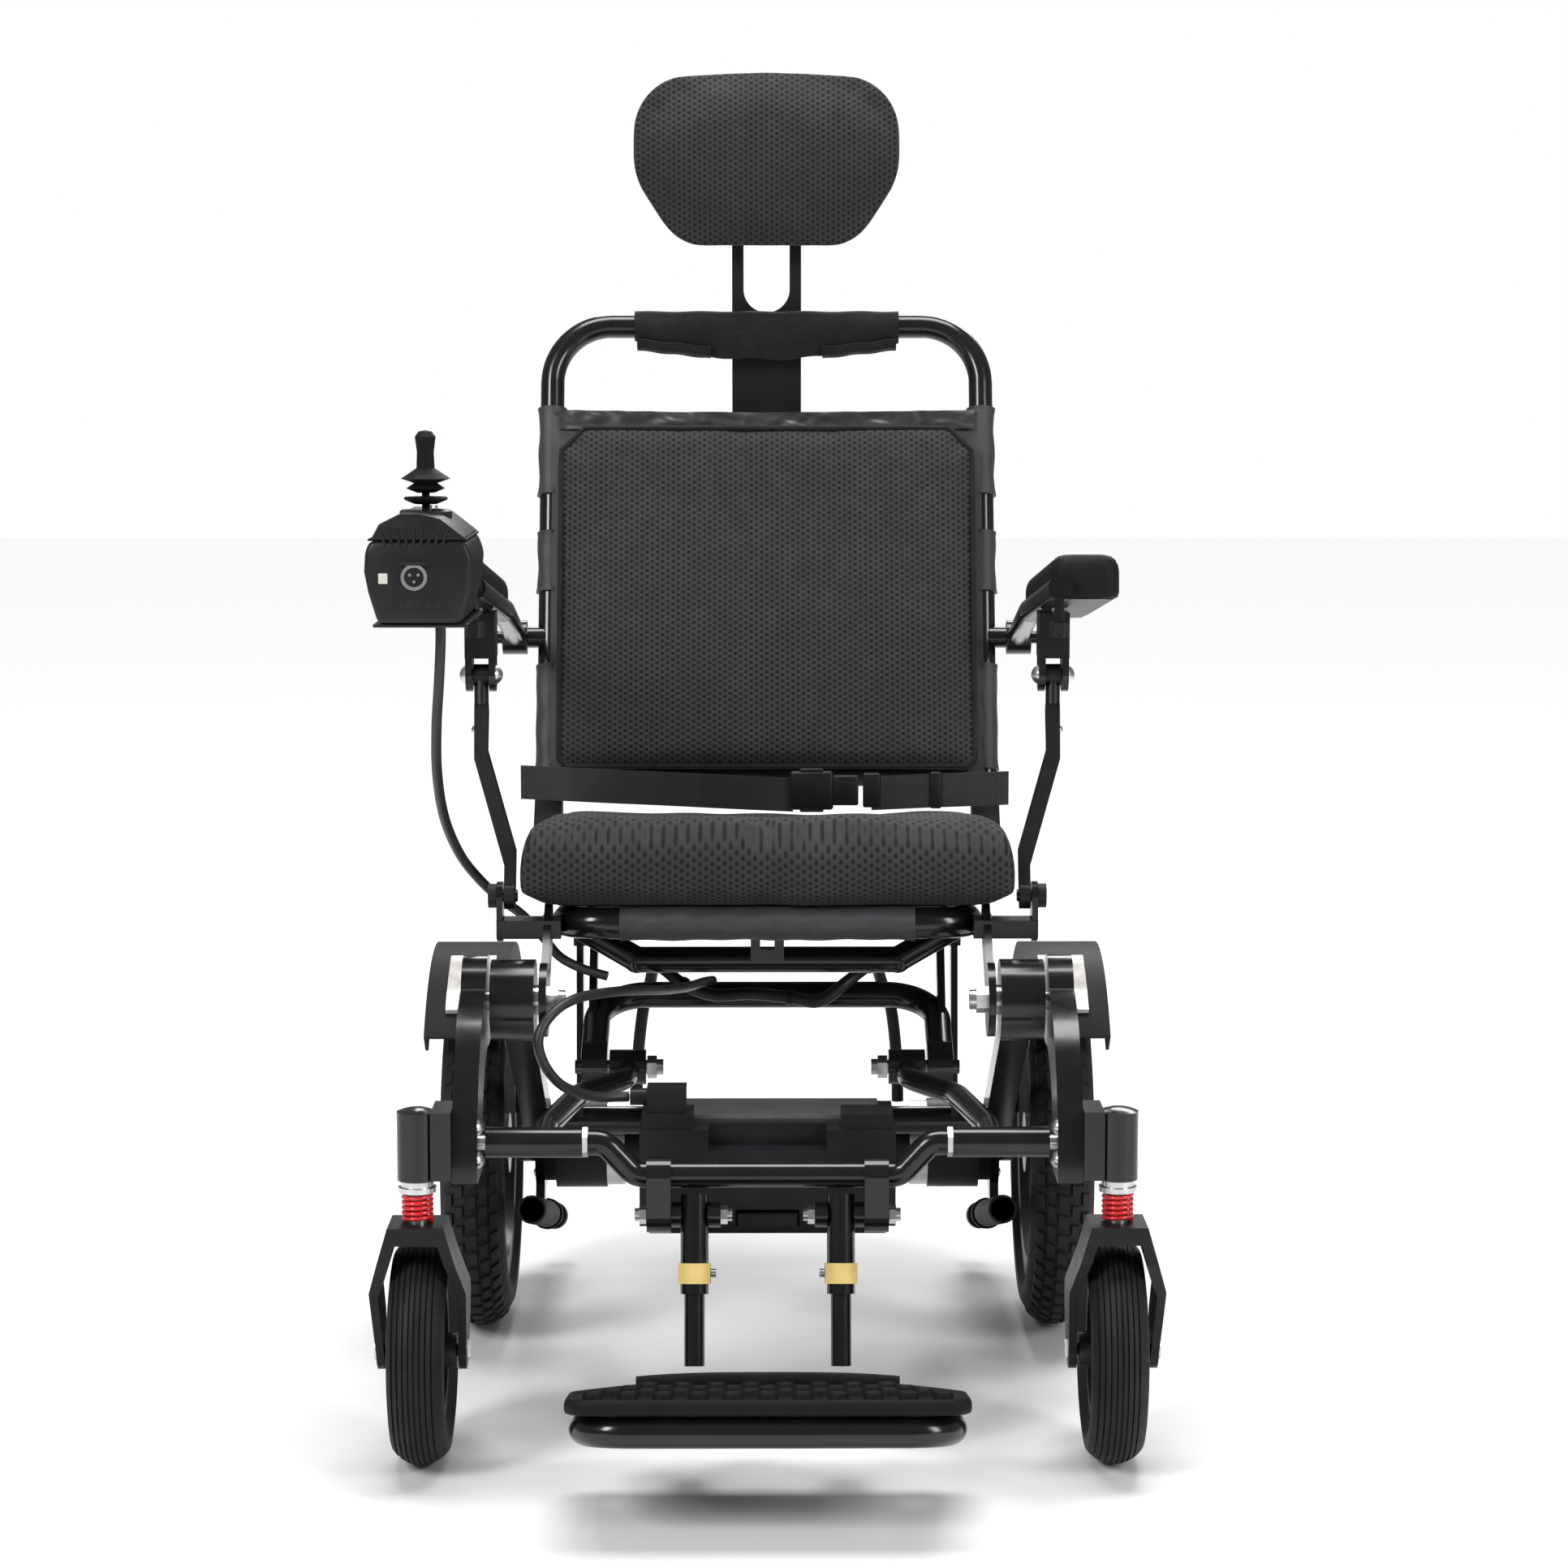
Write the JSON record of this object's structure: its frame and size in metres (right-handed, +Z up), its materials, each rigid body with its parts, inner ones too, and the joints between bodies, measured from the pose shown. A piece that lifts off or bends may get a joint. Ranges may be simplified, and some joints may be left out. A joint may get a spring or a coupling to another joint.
{
  "type": "power wheelchair",
  "caption": "Folding power wheelchair with mesh seat and reclining backrest, adjustable headrest, joystick armrest, sprung swivel casters and motor-driven rear wheels.",
  "frame": {"origin": "on the floor under the middle of the outline of the whole chair", "axes": "+Z up, the chair faces -Y, +X towards the left hand of a person sitting in it"},
  "size_m": [0.623, 0.9806, 1.136],
  "materials": {
    "frame_paint": "gloss black powder coat",
    "matte_metal": "satin black paint",
    "zinc": "bright zinc plate",
    "alloy": "brushed aluminium",
    "black_plastic": "fine-grained moulded black plastic",
    "fender_plastic": "gloss black plastic",
    "lamp_lens": "clear and amber lens",
    "tyre_rubber": "black rubber",
    "soft_rubber": "soft black rubber",
    "rim_plastic": "dark grey moulded rim",
    "spring_red": "red enamelled spring steel",
    "mesh_fabric": "black spacer mesh",
    "nylon": "dark grey woven nylon",
    "knit_cover": "black knitted cover",
    "webbing": "black webbing",
    "yellow_strap": "pale yellow strap",
    "cable_jacket": "black cable jacket"
  },
  "bodies": {
    "rear_frame": {"rear_legs": "frame_paint", "main_hinge_pins": "zinc", "rear_cross_frame": "frame_paint", "motors": "matte_metal", "anti_tip_tubes": "frame_paint", "fenders": "fender_plastic", "fender_lamps": "lamp_lens", "battery_case": "black_plastic", "battery_top_plate": "alloy", "battery_plug": "black_plastic", "battery_lead": "cable_jacket", "wiring_harness": "cable_jacket"},
    "rear_wheel_left": {"rear_rim_left": "rim_plastic", "rear_tyre_left": "tyre_rubber"},
    "rear_wheel_right": {"rear_rim_right": "rim_plastic", "rear_tyre_right": "tyre_rubber"},
    "rear_arch": {"rear_arch": "frame_paint"},
    "lower_links": {"lower_links": "frame_paint"},
    "front_frame": {"front_legs": "frame_paint", "caster_housings": "frame_paint", "front_bolts": "zinc", "footrest_hanger": "frame_paint"},
    "seat": {"seat_frame": "frame_paint", "seat_sling": "nylon", "seat_cushion": "mesh_fabric", "lap_belt": "webbing", "belt_buckle": "black_plastic", "joystick_cable": "cable_jacket"},
    "backrest": {"backrest_frame": "frame_paint", "backrest_sling": "nylon", "backrest_cushion": "mesh_fabric", "push_bar_cover": "knit_cover"},
    "headrest_slide": {"headrest_bracket": "matte_metal"},
    "headrest": {"headrest_pad": "mesh_fabric"},
    "armrest_left": {"armrest_frame_left": "frame_paint", "armrest_pad_left": "soft_rubber", "joystick_case": "black_plastic", "joystick_cover": "black_plastic"},
    "armrest_right": {"armrest_frame_right": "frame_paint", "armrest_pad_right": "soft_rubber"},
    "arm_strut_left": {"arm_strut_left": "matte_metal"},
    "arm_strut_right": {"arm_strut_right": "matte_metal"},
    "stick_gimbal": {"joystick_boot": "soft_rubber"},
    "stick": {"joystick_stick": "soft_rubber"},
    "power_button": {"power_button": "alloy"},
    "footrest": {"footrest_tubes": "frame_paint", "height_bands": "yellow_strap"},
    "footrest_slider": {"footrest_slider": "frame_paint", "footplate": "black_plastic"},
    "caster_swivel_left": {"caster_washers_left": "zinc", "caster_spring_left": "spring_red"},
    "caster_fork_left": {"caster_fork_left": "matte_metal"},
    "caster_wheel_left": {"caster_rim_left": "rim_plastic", "caster_tyre_left": "tyre_rubber"},
    "caster_swivel_right": {"caster_washers_right": "zinc", "caster_spring_right": "spring_red"},
    "caster_fork_right": {"caster_fork_right": "matte_metal"},
    "caster_wheel_right": {"caster_rim_right": "rim_plastic", "caster_tyre_right": "tyre_rubber"}
  },
  "joints": [
    {"name": "seat_fold", "type": "hinge", "parent": "rear_frame", "child": "seat", "pos_m": [0, -0.16775, 0.354], "axis": [1, 0, 0], "range_deg": [0, 70], "deforming": ["joystick_cable"]},
    {"name": "front_leg_fold", "type": "hinge", "parent": "rear_frame", "child": "front_frame", "pos_m": [0, -0.16775, 0.354], "axis": [1, 0, 0], "range_deg": [0, 22.01]},
    {"name": "link_fold", "type": "hinge", "parent": "front_frame", "child": "lower_links", "pos_m": [0, -0.27775, 0.26], "axis": [1, 0, 0], "range_deg": [-22.01, 0]},
    {"name": "arch_fold", "type": "hinge", "parent": "rear_frame", "child": "rear_arch", "pos_m": [0, 0.13225, 0.356], "axis": [1, 0, 0], "range_deg": [0, 22.01]},
    {"name": "rear_wheel_left_spin", "type": "hinge", "parent": "rear_frame", "child": "rear_wheel_left", "pos_m": [-0.257, 0.17225, 0.1635], "axis": [1, 0, 0], "continuous": true},
    {"name": "caster_left_swivel", "type": "hinge", "parent": "front_frame", "child": "caster_swivel_left", "pos_m": [-0.2735, -0.29775, 0.231], "axis": [0, 0, 1], "continuous": true},
    {"name": "caster_left_suspension", "type": "slide", "parent": "caster_swivel_left", "child": "caster_fork_left", "axis": [0, 0, 1], "range_m": [0, 0.008], "stiffness_N_per_m": 20000, "springref_m": -0.012, "deforming": ["caster_spring_left"]},
    {"name": "caster_left_spin", "type": "hinge", "parent": "caster_fork_left", "child": "caster_wheel_left", "pos_m": [-0.2735, -0.26575, 0.09], "axis": [1, 0, 0], "continuous": true},
    {"name": "rear_wheel_right_spin", "type": "hinge", "parent": "rear_frame", "child": "rear_wheel_right", "pos_m": [0.257, 0.17225, 0.1635], "axis": [1, 0, 0], "continuous": true},
    {"name": "caster_right_swivel", "type": "hinge", "parent": "front_frame", "child": "caster_swivel_right", "pos_m": [0.2735, -0.29775, 0.231], "axis": [0, 0, 1], "continuous": true},
    {"name": "caster_right_suspension", "type": "slide", "parent": "caster_swivel_right", "child": "caster_fork_right", "axis": [0, 0, 1], "range_m": [0, 0.008], "stiffness_N_per_m": 20000, "springref_m": -0.012, "deforming": ["caster_spring_right"]},
    {"name": "caster_right_spin", "type": "hinge", "parent": "caster_fork_right", "child": "caster_wheel_right", "pos_m": [0.2735, -0.26575, 0.09], "axis": [1, 0, 0], "continuous": true},
    {"name": "footrest_swing", "type": "hinge", "parent": "front_frame", "child": "footrest", "pos_m": [0, -0.27775, 0.202], "axis": [-1, 0, 0], "range_deg": [0, 75]},
    {"name": "footrest_length", "type": "slide", "parent": "footrest", "child": "footrest_slider", "axis": [0, 0.225, 0.9744], "range_m": [-0.03, 0.008]},
    {"name": "backrest_fold", "type": "hinge", "parent": "seat", "child": "backrest", "pos_m": [0, 0.27425, 0.432], "axis": [1, 0, 0], "range_deg": [-12, 48], "deforming": ["lap_belt", "belt_buckle"]},
    {"name": "armrest_left_level", "type": "hinge", "parent": "backrest", "child": "armrest_left", "pos_m": [-0.235, 0.34225, 0.609], "axis": [1, 0, 0], "range_deg": [-48, 12]},
    {"name": "arm_strut_left_swing", "type": "hinge", "parent": "seat", "child": "arm_strut_left", "pos_m": [-0.212, -0.10375, 0.43], "axis": [1, 0, 0], "range_deg": [-12, 48]},
    {"name": "armrest_right_level", "type": "hinge", "parent": "backrest", "child": "armrest_right", "pos_m": [0.235, 0.34225, 0.609], "axis": [1, 0, 0], "range_deg": [-48, 12]},
    {"name": "arm_strut_right_swing", "type": "hinge", "parent": "seat", "child": "arm_strut_right", "pos_m": [0.212, -0.10375, 0.43], "axis": [1, 0, 0], "range_deg": [-12, 48]},
    {"name": "headrest_height", "type": "slide", "parent": "backrest", "child": "headrest_slide", "axis": [0, 0, 1], "range_m": [-0.04, 0.02]},
    {"name": "headrest_tilt", "type": "hinge", "parent": "headrest_slide", "child": "headrest", "pos_m": [0, 0.45125, 1.05], "axis": [-1, 0, 0], "range_deg": [-4, 20]},
    {"name": "stick_fore_aft", "type": "hinge", "parent": "armrest_left", "child": "stick_gimbal", "pos_m": [-0.262, -0.28575, 0.752], "axis": [1, 0, 0], "range_deg": [-15, 15], "stiffness_Nm_per_rad": 0.6},
    {"name": "stick_side_to_side", "type": "hinge", "parent": "stick_gimbal", "child": "stick", "pos_m": [-0.262, -0.28575, 0.752], "axis": [0, 1, 0], "range_deg": [-15, 15], "stiffness_Nm_per_rad": 0.6},
    {"name": "power_button_press", "type": "slide", "parent": "armrest_left", "child": "power_button", "axis": [0, 0, -1], "range_m": [0, 0.0015], "stiffness_N_per_m": 400, "springref_m": -0.001}
  ],
  "couplings": [
    {"joint": "front_leg_fold", "follows": "seat_fold", "ratio": 0.31429},
    {"joint": "link_fold", "follows": "seat_fold", "ratio": -0.31429},
    {"joint": "arch_fold", "follows": "seat_fold", "ratio": 0.31429},
    {"joint": "armrest_left_level", "follows": "backrest_fold", "ratio": -1},
    {"joint": "arm_strut_left_swing", "follows": "backrest_fold", "ratio": 1},
    {"joint": "armrest_right_level", "follows": "backrest_fold", "ratio": -1},
    {"joint": "arm_strut_right_swing", "follows": "backrest_fold", "ratio": 1}
  ]
}
